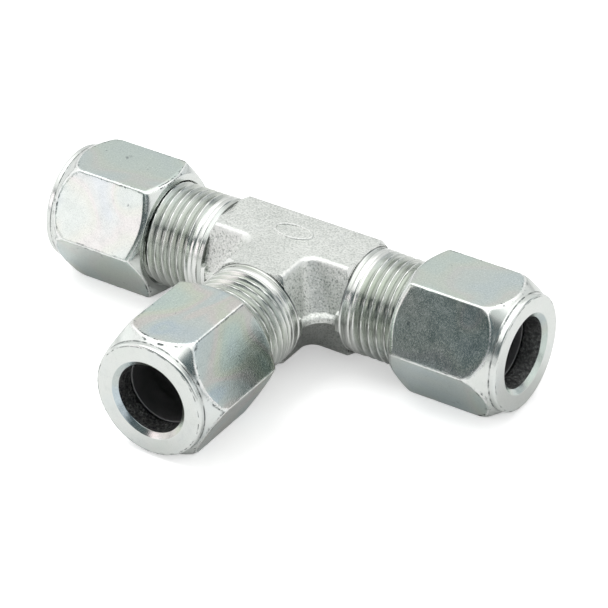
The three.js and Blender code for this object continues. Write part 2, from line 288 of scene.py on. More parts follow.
# ---- materials --------------------------------------------------------------------------------------------------------
class Nodes:
    """Short hands for a material's node tree."""

    def __init__(self, name):
        self.mat = bpy.data.materials.new(name)
        self.mat.use_nodes = True
        self.tree = self.mat.node_tree
        self.tree.nodes.clear()
        self.out = self.add("ShaderNodeOutputMaterial")
        self.bsdf = self.add("ShaderNodeBsdfPrincipled")
        self.link(self.bsdf.outputs[0], self.out.inputs[0])
        self.obj = self.add("ShaderNodeTexCoord").outputs["Object"]

    def add(self, kind, **props):
        n = self.tree.nodes.new(kind)
        for k, v in props.items():
            setattr(n, k, v)
        return n

    def link(self, a, b):
        self.tree.links.new(a, b)

    def put(self, socket, value):
        if isinstance(value, bpy.types.NodeSocket):
            self.link(value, socket)
        else:
            socket.default_value = value

    def math(self, op, a, b=0.0, c=0.0, clamp=False):
        n = self.add("ShaderNodeMath", operation=op, use_clamp=clamp)
        for i, v in enumerate((a, b, c)):
            self.put(n.inputs[i], v)
        return n.outputs[0]

    def xyz(self, vector):
        n = self.add("ShaderNodeSeparateXYZ")
        self.link(vector, n.inputs[0])
        return n.outputs

    def vec(self, x, y, z):
        n = self.add("ShaderNodeCombineXYZ")
        for i, v in enumerate((x, y, z)):
            self.put(n.inputs[i], v)
        return n.outputs[0]

    def scaled(self, vector, scale):
        n = self.add("ShaderNodeVectorMath", operation="MULTIPLY")
        self.link(vector, n.inputs[0])
        n.inputs[1].default_value = scale
        return n.outputs[0]

    def noise(self, vector, scale, detail=2.0, rough=0.5, distortion=0.0):
        n = self.add("ShaderNodeTexNoise")
        self.link(vector, n.inputs["Vector"])
        self.put(n.inputs["Scale"], scale)
        self.put(n.inputs["Detail"], detail)
        self.put(n.inputs["Roughness"], rough)
        self.put(n.inputs["Distortion"], distortion)
        return n.outputs[0]

    def ramp(self, fac, stops, interpolation="LINEAR"):
        n = self.add("ShaderNodeValToRGB")
        n.color_ramp.interpolation = interpolation
        e = n.color_ramp.elements
        while len(e) < len(stops):
            e.new(0.5)
        for el, (pos, col) in zip(e, stops):
            el.position = pos
            el.color = (*col, 1) if len(col) == 3 else col
        self.link(fac, n.inputs[0])
        return n.outputs[0]

    def mix(self, fac, a, b, blend="MIX"):
        n = self.add("ShaderNodeMix", data_type="RGBA", blend_type=blend)
        self.put(n.inputs[0], fac)
        self.put(n.inputs[6], a)
        self.put(n.inputs[7], b)
        return n.outputs[2]

    def span(self, value, a, b, lo, hi):
        n = self.add("ShaderNodeMapRange")
        n.clamp = True
        self.link(value, n.inputs[0])
        for i, v in enumerate((a, b, lo, hi)):
            n.inputs[i + 1].default_value = v
        return n.outputs[0]

    def bump(self, height, distance, strength=1.0, normal=None):
        n = self.add("ShaderNodeBump")
        self.put(n.inputs["Height"], height)
        n.inputs["Distance"].default_value = distance
        n.inputs["Strength"].default_value = strength
        if normal is not None:
            self.link(normal, n.inputs["Normal"])
        return n.outputs[0]

    def field(self, name):
        return self.add("ShaderNodeAttribute", attribute_name=name, attribute_type="GEOMETRY").outputs["Fac"]

    def edge(self, radius):
        """0 on open surfaces, rising towards 1 on convex and concave edges."""
        b = self.add("ShaderNodeBevel", samples=4)
        b.inputs["Radius"].default_value = radius
        g = self.add("ShaderNodeNewGeometry")
        d = self.add("ShaderNodeVectorMath", operation="DOT_PRODUCT")
        self.link(b.outputs[0], d.inputs[0])
        self.link(g.outputs["Normal"], d.inputs[1])
        return self.span(d.outputs["Value"], 0.995, 0.90, 0.0, 1.0)


def axial(n):
    """Distance along the port a point is on: the larger of |x| and -y, metres."""
    x, y, _ = n.xyz(n.obj)
    return n.math("MAXIMUM", n.math("ABSOLUTE", x), n.math("MULTIPLY", y, -1.0))


def forged_material():
    """Shot-blasted, zinc-plated forging: coarse sparkling grain, darker pits, pale rubbed bevels, edges partly rubbed
    and partly a painted highlight, a painted highlight on the raised mark, painted light on the steep walls, painted
    shade on the underside.
    """
    n = Nodes("forged_steel")
    fine = n.noise(n.obj, 4200.0, 2.0, 0.6)
    grain = n.noise(n.obj, 2900.0, 3.0, 0.65)
    mid = n.noise(n.obj, 900.0, 2.0, 0.5)
    broad = n.noise(n.obj, 150.0, 3.0, 0.55)
    tone = n.ramp(broad, [(0.3, (0.600, 0.630, 0.600)), (0.55, (0.680, 0.705, 0.675)), (0.75, (0.640, 0.665, 0.645))])
    # the steep walls are painted lighter, a painted light standing in for the shaded floor they reflect; they keep
    # their blasted grain, the pads are handled smoother
    painted_wall_light = n.span(n.math("ABSOLUTE", n.xyz(n.add("ShaderNodeNewGeometry").outputs["Normal"])[2]), 0.90, 0.45, 0.0, 0.55)
    tone = n.mix(painted_wall_light, tone, (0.90, 0.92, 0.88, 1))
    steep = n.span(n.math("ABSOLUTE", n.xyz(n.add("ShaderNodeNewGeometry").outputs["Normal"])[2]), 0.90, 0.45, 0.55, 1.0)
    tone = n.mix(n.math("MULTIPLY", steep, n.span(grain, 0.48, 0.60, 0.0, 0.85)), tone, (0.98, 0.99, 0.97, 1))
    tone = n.mix(n.math("MULTIPLY", steep, n.span(grain, 0.455, 0.34, 0.0, 0.80)), tone, (0.22, 0.24, 0.23, 1))
    # bright edges: partly rubbed wear, partly a painted highlight standing in for the light that rounded edges catch
    wear_and_highlight = n.math("MULTIPLY", n.edge(0.00030), n.span(mid, 0.35, 0.6, 0.35, 1.0))
    tone = n.mix(n.math("MULTIPLY", wear_and_highlight, 0.40), tone, (0.90, 0.91, 0.89, 1))
    z = n.xyz(n.obj)[2]
    # raised mark painted lighter: a painted highlight on its crest
    proud_highlight = n.span(z, (2 * PAD_H + 0.05) / 1000, (2 * PAD_H + 0.16) / 1000, 0.0, 0.30)
    tone = n.mix(proud_highlight, tone, (0.93, 0.94, 0.92, 1))
    # rubbed bevel round the pads; painted shade on the underside below the parting line
    h = n.math("SUBTRACT", z, PAD_H / 1000)
    up = n.math("ABSOLUTE", h)
    bevel = n.math("MULTIPLY", n.span(up, 0.0080, 0.0085, 0.0, 1.0), n.span(up, 0.00912, 0.0090, 0.0, 1.0))
    bevel = n.math("MULTIPLY", bevel, n.span(mid, 0.30, 0.55, 0.45, 1.0))
    tone = n.mix(n.math("MULTIPLY", bevel, 0.70), tone, (0.97, 0.98, 0.96, 1))
    tone = n.mix(n.span(h, -0.0003, -0.0014, 0.0, 0.50), tone, (0.16, 0.175, 0.165, 1))
    wear_and_highlight = n.math("MAXIMUM", wear_and_highlight, bevel)
    n.put(n.bsdf.inputs["Base Color"], tone)
    n.bsdf.inputs["Metallic"].default_value = 1.0
    n.put(n.bsdf.inputs["Roughness"], n.math("SUBTRACT", n.span(mid, 0.3, 0.7, 0.35, 0.45), n.math("MULTIPLY", wear_and_highlight, 0.10)))
    height = n.math("ADD", n.math("MULTIPLY", fine, 0.35), n.math("ADD", n.math("MULTIPLY", grain, 0.9), n.math("MULTIPLY", mid, 0.5)))
    n.put(n.bsdf.inputs["Normal"], n.bump(height, 0.00012, 0.9))
    return n.mat


def turned_material(name="turned_steel", dark=False, rough=(0.20, 0.34), along=True):
    """Lathe-cut and zinc-plated: fine rings round the axis, faint warm and cool patches."""
    n = Nodes(name)
    x, y, z = n.xyz(n.obj)
    s = axial(n)
    h = n.math("SUBTRACT", z, PAD_H / 1000)
    # radius from the port's own axis
    is_branch = n.math("GREATER_THAN", n.math("MULTIPLY", y, -1.0), n.math("ABSOLUTE", x))
    across = n.add("ShaderNodeMix", data_type="FLOAT")
    n.put(across.inputs[0], is_branch)
    n.put(across.inputs[2], y)
    n.put(across.inputs[3], x)
    r = n.math("SQRT", n.math("ADD", n.math("MULTIPLY", across.outputs[0], across.outputs[0]), n.math("MULTIPLY", h, h)))
    ring = n.math("ADD", s, n.math("MULTIPLY", r, 1.37))
    rings = n.noise(n.vec(n.math("MULTIPLY", ring, 2800.0), n.math("MULTIPLY", z, 120.0), 0.0), 1.0, 4.0, 0.7)
    broad = n.noise(n.obj, 130.0, 2.0, 0.5)
    if dark:
        tone = n.ramp(broad, [(0.3, (0.34, 0.342, 0.348)), (0.7, (0.56, 0.562, 0.568))])
        tone = n.mix(n.math("MULTIPLY", n.edge(0.00015), 0.5), tone, (0.35, 0.35, 0.34, 1))
    else:
        tone = n.ramp(broad, [(0.25, (0.68, 0.725, 0.655)), (0.5, (0.73, 0.755, 0.72)), (0.75, (0.67, 0.715, 0.705))])
        tone = n.mix(n.span(rings, 0.42, 0.64, 0.0, 0.50), tone, (0.36, 0.39, 0.36, 1))
        # painted highlight on the crests and the outer collar, painted shade in the thread roots
        tone = n.mix(n.span(r, 0.00888, 0.00862, 0.0, 0.60), tone, (0.15, 0.17, 0.145, 1))
        tone = n.mix(n.span(r, 0.00930, 0.00942, 0.0, 0.60), tone, (0.95, 0.96, 0.94, 1))
        # painted shade in the crease where the collar meets the forging's end
        crease_shade = n.span(n.math("ABSOLUTE", n.math("SUBTRACT", s, (BLOCK_END + 0.02) / 1000)), 0.00019, 0.00005, 0.0, 0.8)
        tone = n.mix(n.math("MULTIPLY", crease_shade, n.span(n.math("ABSOLUTE", h), 0.0016, 0.0023, 0.0, 1.0)), tone, (0.07, 0.075, 0.07, 1))
    n.put(n.bsdf.inputs["Base Color"], tone)
    n.bsdf.inputs["Metallic"].default_value = 1.0
    n.put(n.bsdf.inputs["Roughness"], n.span(rings, 0.3, 0.7, rough[0], rough[1]))
    n.put(n.bsdf.inputs["Normal"], n.bump(rings, 0.000030, 0.75))
    return n.mat


def bored_material():
    """Rough drilled steel: dark oily pores with pale scraped grain."""
    n = Nodes("bored_steel")
    grain = n.noise(n.obj, 2100.0, 4.0, 0.7)
    broad = n.noise(n.obj, 330.0, 2.0, 0.5)
    tone = n.ramp(grain, [(0.34, (0.10, 0.102, 0.104)), (0.50, (0.30, 0.305, 0.305)), (0.66, (0.75, 0.76, 0.75))])
    tone = n.mix(n.span(broad, 0.35, 0.65, 0.0, 0.45), tone, (0.10, 0.10, 0.105, 1))
    n.put(n.bsdf.inputs["Base Color"], tone)
    n.bsdf.inputs["Metallic"].default_value = 1.0
    n.put(n.bsdf.inputs["Roughness"], n.span(grain, 0.3, 0.7, 0.60, 0.38))
    n.put(n.bsdf.inputs["Normal"], n.bump(grain, 0.00009, 0.9))
    return n.mat


def arris(n, p):
    """Hexagon edges: (bright line, a painted highlight along the arris that is partly rubbed wear; dark broken nicks,
    painted shade beside the edge) along the corners and round the ends of the flats.
    """
    end = n.field("past_end")
    corner = n.math("ADD", n.field("to_corner"), n.math("MULTIPLY", n.math("MAXIMUM", n.math("MULTIPLY", end, -1.0), 0.0), 12.0))
    away = n.math("MINIMUM", n.math("ABSOLUTE", end), corner)
    wander = n.math("MULTIPLY", n.math("SUBTRACT", n.noise(p, 1500.0, 3.0, 0.6), 0.5), 0.22)
    away = n.math("ADD", away, wander)
    # bright line: painted highlight along the edge, partly rubbed wear
    line = n.math("MULTIPLY", n.span(away, 0.19, 0.08, 0.0, 1.0), n.span(n.noise(p, 420.0, 2.0, 0.5), 0.36, 0.50, 0.25, 1.0))
    # dark band beside it, broken into dashes: painted shade beside the edge
    beside = n.math("MULTIPLY", n.span(away, 0.08, 0.16, 0.0, 1.0), n.span(away, 0.42, 0.26, 0.0, 1.0))
    gaps = n.span(n.noise(p, 620.0, 4.0, 0.8), 0.50, 0.58, 0.0, 1.0)
    stretch = n.span(n.noise(p, 130.0, 2.0, 0.6), 0.42, 0.56, 0.20, 1.0)
    return line, n.math("MULTIPLY", n.math("MULTIPLY", beside, gaps), stretch)


def plated_material(branch=False, seed=0.0):
    """Bright zinc with a clear passivate: pale green-grey with faint straw, pink and blue clouds, drawn-bar streaks."""
    n = Nodes("zinc_plate_branch" if branch else "zinc_plate_run")
    shifted = n.add("ShaderNodeVectorMath", operation="ADD")
    n.link(n.obj, shifted.inputs[0])
    shifted.inputs[1].default_value = (seed, seed * 0.7, 0.0)
    p = shifted.outputs[0]
    clouds = n.noise(n.scaled(p, (1.25, 0.7, 1.0)) if branch else p, 88.0, 1.0, 0.35, 0.5)
    tints = [(0.540, 0.660, 0.665), (0.590, 0.710, 0.640), (0.680, 0.715, 0.590), (0.725, 0.670, 0.640), (0.630, 0.690, 0.675), (0.545, 0.645, 0.720), (0.600, 0.710, 0.650)]
    pure = 0.72 if branch else 0.32
    tints = [tuple(pure * a + (1 - pure) * b for a, b in zip(t, (0.620, 0.685, 0.655))) for t in tints]
    tone = n.ramp(clouds, list(zip((0.26, 0.36, 0.45, 0.50, 0.56, 0.65, 0.75), tints)), "EASE")
    streak = n.noise(n.scaled(p, (1500.0, 90.0, 1500.0) if branch else (90.0, 1500.0, 1500.0)), 1.0, 3.0, 0.6)
    speck = n.noise(p, 3800.0, 2.0, 0.65)
    blot = n.noise(p, 520.0, 4.0, 0.7)
    tone = n.mix(n.span(streak, 0.48, 0.70, 0.0, 0.12), tone, (0.48, 0.53, 0.53, 1))
    tone = n.mix(n.span(blot, 0.54, 0.70, 0.0, 0.12), tone, (0.42, 0.48, 0.48, 1))
    tone = n.mix(n.span(speck, 0.54, 0.68, 0.0, 0.22), tone, (0.94, 0.97, 0.96, 1))
    tone = n.mix(n.span(speck, 0.46, 0.32, 0.0, 0.24), tone, (0.34, 0.38, 0.39, 1))
    spots = n.span(n.noise(p, 300.0, 3.0, 0.75), 0.665, 0.72, 0.0, 0.7)
    tone = n.mix(spots, tone, (0.20, 0.23, 0.24, 1))
    line, nicks_and_shade = arris(n, p)
    # painted highlight along the arrises, partly rubbed wear, then painted shade in the nicks beside them over small
    # bumped dents
    tone = n.mix(n.math("MULTIPLY", line, 0.9), tone, (0.97, 0.98, 0.97, 1))
    tone = n.mix(nicks_and_shade, tone, (0.085, 0.095, 0.10, 1))
    n.put(n.bsdf.inputs["Base Color"], tone)
    n.bsdf.inputs["Metallic"].default_value = 1.0
    base = n.math("ADD", n.span(blot, 0.3, 0.7, 0.15, 0.22), n.span(speck, 0.50, 0.68, 0.0, 0.055))
    n.put(n.bsdf.inputs["Roughness"], n.math("ADD", base, n.math("ADD", n.math("MULTIPLY", nicks_and_shade, 0.3), n.math("MULTIPLY", line, 0.12))))
    height = n.math("ADD", n.math("MULTIPLY", streak, 0.5), n.math("ADD", n.math("MULTIPLY", blot, 0.35), n.math("MULTIPLY", speck, 0.5)))
    height = n.math("SUBTRACT", height, n.math("MULTIPLY", nicks_and_shade, 1.5))
    n.put(n.bsdf.inputs["Normal"], n.bump(height, 0.000019, 0.8))
    return n.mat


def boss_material():
    """Chamfers, boss and end face of a nut: lathe-cut rings under the zinc, painted shade in the crease, a broken
    darker line round the outer edge, painted highlights and shade along the arrises.
    """
    n = Nodes("turned_zinc")
    s, r = n.field("own_s"), n.field("own_r")
    ring = n.math("ADD", s, n.math("MULTIPLY", r, 1.37))
    rings = n.noise(n.vec(n.math("MULTIPLY", ring, 8.0), 0.0, 0.0), 1.0, 3.0, 0.65)
    broad = n.noise(n.obj, 130.0, 2.0, 0.5)
    blot = n.noise(n.obj, 620.0, 4.0, 0.7)
    tone = n.ramp(broad, [(0.25, (0.790, 0.835, 0.800)), (0.5, (0.825, 0.850, 0.825)), (0.75, (0.785, 0.830, 0.825))])
    tone = n.mix(n.span(rings, 0.40, 0.70, 0.0, 0.20), tone, (0.54, 0.58, 0.56, 1))
    tone = n.mix(n.span(blot, 0.55, 0.70, 0.0, 0.22), tone, (0.55, 0.59, 0.58, 1))
    tone = n.mix(n.span(blot, 0.42, 0.30, 0.0, 0.35), tone, (0.93, 0.94, 0.93, 1))
    line, nicks_and_shade = arris(n, n.obj)
    gaps = n.noise(n.obj, 800.0, 3.0, 0.7)
    # painted shade in the concave corner at the foot of the boss
    crease_shade = n.math("MULTIPLY", n.span(n.math("ABSOLUTE", n.math("SUBTRACT", s, 44.80)), 0.20, 0.05, 0.0, 1.0), n.span(r, 10.3, 10.45, 0.0, 1.0))
    crease_shade = n.math("MULTIPLY", crease_shade, n.span(gaps, 0.40, 0.56, 0.25, 0.95))
    # a broken darker line round the outer edge of the end face
    lip = n.math("MULTIPLY", n.span(n.math("ABSOLUTE", n.math("SUBTRACT", r, 10.22)), 0.13, 0.04, 0.0, 1.0), n.span(s, 45.6, 45.8, 0.0, 1.0))
    lip = n.math("MULTIPLY", lip, n.span(gaps, 0.48, 0.58, 0.0, 0.75))
    # painted highlight along the arrises, partly rubbed wear; painted shade in the crease and the nicks, with the
    # darker edge line
    tone = n.mix(n.math("MULTIPLY", line, 0.6), tone, (0.96, 0.97, 0.96, 1))
    shade_and_dark_lines = n.math("MAXIMUM", n.math("MAXIMUM", crease_shade, lip), nicks_and_shade)
    tone = n.mix(shade_and_dark_lines, tone, (0.10, 0.115, 0.115, 1))
    n.put(n.bsdf.inputs["Base Color"], tone)
    n.bsdf.inputs["Metallic"].default_value = 1.0
    # the countersink is cut last and stays bright
    bright = n.math("MULTIPLY", n.span(r, COUNTERSINK_R + 0.06, COUNTERSINK_R - 0.04, 0.0, 1.0), n.span(s, NUT_FRONT - 0.9, NUT_FRONT - 0.7, 0.0, 1.0))
    rough = n.math("ADD", n.span(rings, 0.3, 0.7, 0.15, 0.27), n.math("MULTIPLY", shade_and_dark_lines, 0.3))
    n.put(n.bsdf.inputs["Roughness"], n.math("MULTIPLY", rough, n.math("SUBTRACT", 1.0, n.math("MULTIPLY", bright, 0.72))))
    height = n.math("ADD", rings, n.math("MULTIPLY", blot, 0.6))
    n.put(n.bsdf.inputs["Normal"], n.bump(height, 0.000012, 0.7))
    return n.mat


forged = forged_material()
turned = turned_material(rough=(0.15, 0.25))
boss = boss_material()
inner = bored_material()
blackened = turned_material("blackened_steel", dark=True, rough=(0.38, 0.52))
plate = {"run_right": plated_material(False, 0.0), "branch": plated_material(True, 0.03)}
plate["run_left"] = plate["run_right"]


# ---- tee body ---------------------------------------------------------------------------------------------------------
def tee_outline(w, fillet, n=28):
    e = BLOCK_END
    c = w + fillet
    pts = [(e, w), (-e, w), (-e, -w)]
    for i in range(n + 1):
        a = math.pi / 2 * (1 - i / n)
        pts.append((-c + fillet * math.cos(a), -c + fillet * math.sin(a)))
    pts += [(-w, -e), (w, -e)]
    for i in range(n, -1, -1):
        a = math.pi / 2 * (1 - i / n)
        pts.append((c - fillet * math.cos(a), -c + fillet * math.sin(a)))
    pts.append((e, -w))
    return pts


def forging():
    upper = []
    rad = 1.05
    for i in range(9):
        a = math.radians(68.7) * i / 8
        z = PAD_H - rad + rad * math.cos(a)
        upper.append((z, PAD_HALF + rad * math.sin(a), 2.6 - 0.2 * i / 8))
    z0, w0, f0 = upper[-1]
    zl, wl, fl = FLASH_HALF + 0.75, BELLY_HALF - 0.62, 3.85
    for i in range(1, 9):
        t = i / 8
        upper.append((z0 + (zl - z0) * t, w0 + (wl - w0) * t + 0.10 * math.sin(math.pi * t), f0 + (fl - f0) * t))
    for i in range(1, 6):
        t = i / 5
        upper.append((zl + (FLASH_HALF - zl) * t, wl + (BELLY_HALF - wl) * (t * t * (3 - 2 * t)), fl + (4.3 - fl) * t))
    levels = [(-z, w, f) for z, w, f in upper] + [(z, w, f) for z, w, f in reversed(upper)]
    rows = [tee_outline(w, f) for _, w, f in levels]
    cols = len(rows[0])
    verts = [(x / 1000, y / 1000, (PAD_H + levels[i][0]) / 1000) for i, row in enumerate(rows) for x, y in row]
    faces = ring_faces(len(levels), cols).tolist()
    faces.append(list(range(cols))[::-1])
    faces.append([(len(levels) - 1) * cols + j for j in range(cols)])
    return new_object("tee_body_visual", verts, faces)


def ease(x, a, b):
    t = np.clip((x - a) / (b - a), 0, 1)
    return t * t * (3 - 2 * t)


def relief(s):
    """Depth of the tool marks in the collar: a wide shallow groove by the block and a scored line before the thread."""
    t = s - BLOCK_END
    wide = 0.20 * ease(t, 0.04, 0.26) * (1 - ease(t, 0.95, 1.20))
    return wide + 0.13 * np.exp(-(((t - 2.02) / 0.16) ** 2))


def external_radius(phi, s):
    """Surface radius of the stub: collar, run-out, thread and end chamfer."""
    turns = s / PITCH - phi / (2 * math.pi)
    m = np.round(turns)
    d = np.abs(turns - m) * PITCH
    root_half = PITCH / 4 + (EXT_ROOT_R - PITCH_R) * FLANK + FLANK_GAP
    flank = EXT_ROOT_R + (d - root_half) / FLANK
    r = smin(smax(flank, np.full_like(d, EXT_ROOT_R), 0.10), np.full_like(d, STUB_R), 0.06)
    fade = np.clip((m + phi / (2 * math.pi) - 10.6) / 0.5, 0, 1)
    r = STUB_R - (STUB_R - r) * fade
    collar = np.clip(COLLAR_R - np.clip(s - (COLLAR_END - 0.2), 0, None) * 1.6, 0, COLLAR_R)
    r = np.where(s < COLLAR_END - 0.35, collar - relief(s), np.maximum(r, collar))
    # the tool runs on into the forging only where the belly stands out, beside the parting line
    r = np.where(s < BLOCK_END - 0.03, COLLAR_R - 1.3 * ease(np.abs(COLLAR_R * np.cos(phi)), 1.7, 2.5), r)
    return smin(r, STUB_R - 0.95 + (STUB_END - s), 0.12)


def stub(port):
    cols = 176
    phi = np.linspace(0, 2 * math.pi, cols, endpoint=False)
    s = np.concatenate([[BLOCK_END - 0.72, BLOCK_END - 0.04, BLOCK_END - 0.02], np.arange(BLOCK_END + 0.04, COLLAR_END - 0.25, 0.08), np.arange(COLLAR_END - 0.2, STUB_END - 1e-6, 0.075), [STUB_END]])
    ph, ss = np.meshgrid(phi, s)
    rr = external_radius(ph, ss)
    pts = to_world(port, ph, ss, rr).reshape(-1, 3)
    verts, faces = capped(port, pts, ring_faces(len(s), cols).tolist(), len(s), cols, BLOCK_END - 0.72, STUB_END)
    return new_object("stub_" + port, verts, faces)


def port_bore(port):
    depth = (CONE_R - SOCKET_R) / math.tan(math.radians(12))
    prof = [
        (-1.0, 0, 0), (-1.0, WATERWAY_R, 0), (SOCKET_STOP, WATERWAY_R, 0), (SOCKET_STOP, SOCKET_R, 0),
        (STUB_END - depth, SOCKET_R, 0), (STUB_END - 0.25, CONE_R - 0.03, 0), (STUB_END + 0.2, CONE_R + 0.4, 0), (STUB_END + 0.2, 0, 0),
    ]
    return lathe("bore_" + port, port, [(a, b) for a, b, _ in prof], 120)


def end_trim(port):
    e = BLOCK_END
    prof = [(e - 4.6, 14.4), (e - 1.1, 10.9), (e - 0.05, 9.8), (e + 0.3, 9.8), (e + 0.3, 22.0), (e - 4.6, 22.0)]
    return lathe("trim_" + port, port, prof, 160)


def oval_mark():
    """Plain raised oval on the upper pad, soft-shouldered as a forging die leaves it."""
    half, top = 0.30, 0.27
    section = [(-half, -0.35), (-half, -0.02)]
    section += [(-half * math.cos(math.radians(a)) * 0.92, top * math.sin(math.radians(a))) for a in range(20, 161, 20)]
    section += [(half, -0.02), (half, -0.35)]
    rows, cols = len(section), 128
    verts = []
    for du, dz in section:
        for j in range(cols):
            t = 2 * math.pi * j / cols
            x = MARK_AT[0] + (MARK_SIZE[0] + du) * math.cos(t)
            y = MARK_AT[1] + (MARK_SIZE[1] + du) * math.sin(t)
            verts.append((x / 1000, y / 1000, (2 * PAD_H + dz) / 1000))
    return new_object("mark", verts, ring_faces(rows, cols, True))


def tee_body():
    body = forging()
    boolean(body, [end_trim(p) for p in PORTS], "DIFFERENCE")
    boolean(body, [stub(p) for p in PORTS] + [oval_mark()], "UNION")
    boolean(body, [port_bore(p) for p in PORTS], "DIFFERENCE")
    mesh = body.data
    tidy(mesh)
    mesh.materials.clear()
    for m in (forged, turned, inner):
        mesh.materials.append(m)
    n = len(mesh.polygons)
    c = np.zeros(n * 3)
    mesh.polygons.foreach_get("center", c)
    c = c.reshape(-1, 3) * 1000
    normal = np.zeros(n * 3)
    mesh.polygons.foreach_get("normal", normal)
    normal = normal.reshape(-1, 3)
    z = c[:, 2] - PAD_H
    index = np.zeros(n, np.int32)
    for out in PORTS.values():
        s = c @ out[1]
        radial = c - s[:, None] * out[1]
        radial[:, 2] -= PAD_H
        r = np.linalg.norm(radial, axis=1)
        facing = np.einsum("ij,ij->i", normal, radial / np.maximum(r, 1e-6)[:, None])
        index[(s > BLOCK_END - 0.03) & (r < 9.6)] = 1
        index[(s > BLOCK_END - 0.75) & (np.abs(r - COLLAR_R) < 0.045) & (facing > 0.95) & (np.abs(z) < 2.0)] = 1
        # the turned shoulder at the forging's end
        cone = (np.abs(r + s - BLOCK_END - 9.8) < 0.12) & (s < BLOCK_END + 0.1) & (normal @ out[1] > 0.5) & (facing > 0.4)
        index[cone] = 1
        index[(facing < -0.5) & (r < CONE_R + 0.3) & (s > 0)] = 2
    mesh.polygons.foreach_set("material_index", index)
    finish_shading(mesh, 30.0)
    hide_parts("tee_body")
    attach(body, "tee")


# ---- union nuts -------------------------------------------------------------------------------------------------------
def hex_radius(phi):
    a = np.mod(phi + math.pi / 6, math.pi / 3) - math.pi / 6  # from the middle of the nearest flat
    half = NUT_AF / 2
    other = np.where(a > 0, a - math.pi / 3, a + math.pi / 3)
    return smin(half / np.cos(a), half / np.cos(other), 0.34)


def internal_radius(phi, s):
    turns = s / PITCH - phi / (2 * math.pi) - 0.5
    d = np.abs(turns - np.round(turns)) * PITCH
    crest_half = PITCH / 4 - (INT_MAJOR_R - PITCH_R) * FLANK + FLANK_GAP
    flank = INT_MAJOR_R - (d - crest_half) / FLANK
    return smax(smin(flank, np.full_like(d, INT_MAJOR_R), 0.06), np.full_like(d, INT_MINOR_R), 0.06)


def nut(port, seed):
    off = BACKED_OFF[port]
    outer = [
        (NUT_REAR, ENTRY_R, 0.0),
        (NUT_REAR, NUT_REAR_FACE_R, 0.30),
        (NUT_REAR + (13.4 - NUT_REAR_FACE_R) * NUT_REAR_SLOPE, 13.4, 0.0),
        (39.2, 13.4, 0.0),
        (42.2, 12.45, 1.6),
        (44.45, 10.80, 0.25),
        (44.85, BOSS_R, 0.25),
        (NUT_FRONT, BOSS_R, BOSS_ROUND),
        (NUT_FRONT, COUNTERSINK_R, 0.12),
        (NUT_FRONT - COUNTERSINK_DEPTH, NUT_BORE_R, 0.10),
        (42.02, NUT_BORE_R, 0.15),
        (39.8, 8.67, 0.15),
        (39.2, 9.9, 0.15),
        (NUT_THREAD_END - 0.4, 9.9, 0.15),
        (NUT_THREAD_END - 0.4, INT_MINOR_R, 0.0),
    ]
    prof = rounded(outer)

    def spacing(p):
        s, r = p
        if r > 10.5 and (s < NUT_REAR + 2.1 or s > 39.2):
            return 0.10
        if r > 13.3:
            return 0.7
        return 0.45

    shell = resampled(prof, spacing)
    thread_s = np.arange(NUT_THREAD_END - 0.48, NUT_REAR + 0.05, -0.10)
    cols_deg = [0, 0.35, 0.8, 1.4, 2.2, 3.3, 5, 7.5, 10, 13, 16, 19, 22, 25, 28]
    sector = cols_deg + [30] + [60 - d for d in reversed(cols_deg[1:])]
    phi = np.radians([30 + 60 * k + d for k in range(6) for d in sector])
    cols = len(phi)
    ph, env = np.meshgrid(phi, shell[:, 1])
    _, ss = np.meshgrid(phi, shell[:, 0])
    hexr = np.broadcast_to(hex_radius(phi), env.shape)
    is_outer = env > 10.2
    blend = 0.32 + 0.62 * np.clip((30.0 - ss) / 3.0, 0, 1)  # flats roll over further at the rear end
    rr = np.where(is_outer, smin(hexr, env, blend), env)
    # small dings along the hexagon's corners and front arris
    for k in range(14):
        corner = math.radians(30 + 60 * int(6 * hash01(seed, k, 1)))
        at = NUT_REAR + 1.6 + 14.5 * hash01(seed, k, 2)
        depth = 0.02 + 0.07 * hash01(seed, k, 3) ** 2
        width = 0.15 + 0.3 * hash01(seed, k, 4)
        da = np.mod(ph - corner + math.pi, 2 * math.pi) - math.pi
        rr = rr - np.where(is_outer, depth * np.exp(-((ss - at) / width) ** 2 - (da * 12.8 / 0.3) ** 2), 0)
    th, ts = np.meshgrid(phi, thread_s)
    tr = smax(internal_radius(th, ts), ENTRY_R - (ts - NUT_REAR), 0.05)  # threads run out in the entry chamfer
    ring_phi = np.vstack([ph, th]) + 2 * math.pi * off
    ring_s = np.vstack([ss, ts]) + off * PITCH
    ring_r = np.vstack([rr, tr])
    rows = len(ring_s)
    faces = ring_faces(rows, cols, closed_rows=True)
    pts = to_world(port, ring_phi, ring_s, ring_r)
    # 0 plated flats, 1 turned cone, boss and faces, 2 bore and thread
    kind = np.zeros((rows, cols), np.int32)
    n_shell = len(shell)
    full_s, full_r = np.vstack([ss, ts]), ring_r
    turned_face = np.vstack([(env < hexr - 0.02) & is_outer, np.zeros_like(th, bool)])
    kind[turned_face] = 1
    kind[(full_s > NUT_FRONT - 0.02)] = 1
    kind[(full_r < 10.2) & (full_s < NUT_REAR + 1.2)] = 1
    inside = (full_r < 10.2) & (full_s > NUT_REAR + 0.9) & (full_s < NUT_FRONT - COUNTERSINK_DEPTH - 0.02)
    kind[inside] = 2
    to_corner = np.abs(np.mod(ph, math.pi / 3) - math.pi / 6) * 12.83
    past_end = np.where(is_outer, (env - hexr) * 0.85, -5.0)
    fields = {
        "own_s": full_s,
        "own_r": full_r,
        "to_corner": np.vstack([to_corner, np.full_like(th, 9.0)]),
        "past_end": np.clip(np.vstack([past_end, np.full_like(th, -5.0)]), -2, 2),
    }
    obj = new_object(port + "_nut_visual", pts, faces, (plate[port], boss, inner), kind.reshape(-1), sharp=34.0, fields=fields)
    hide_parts(port + "_nut")
    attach(obj, port + "_nut")


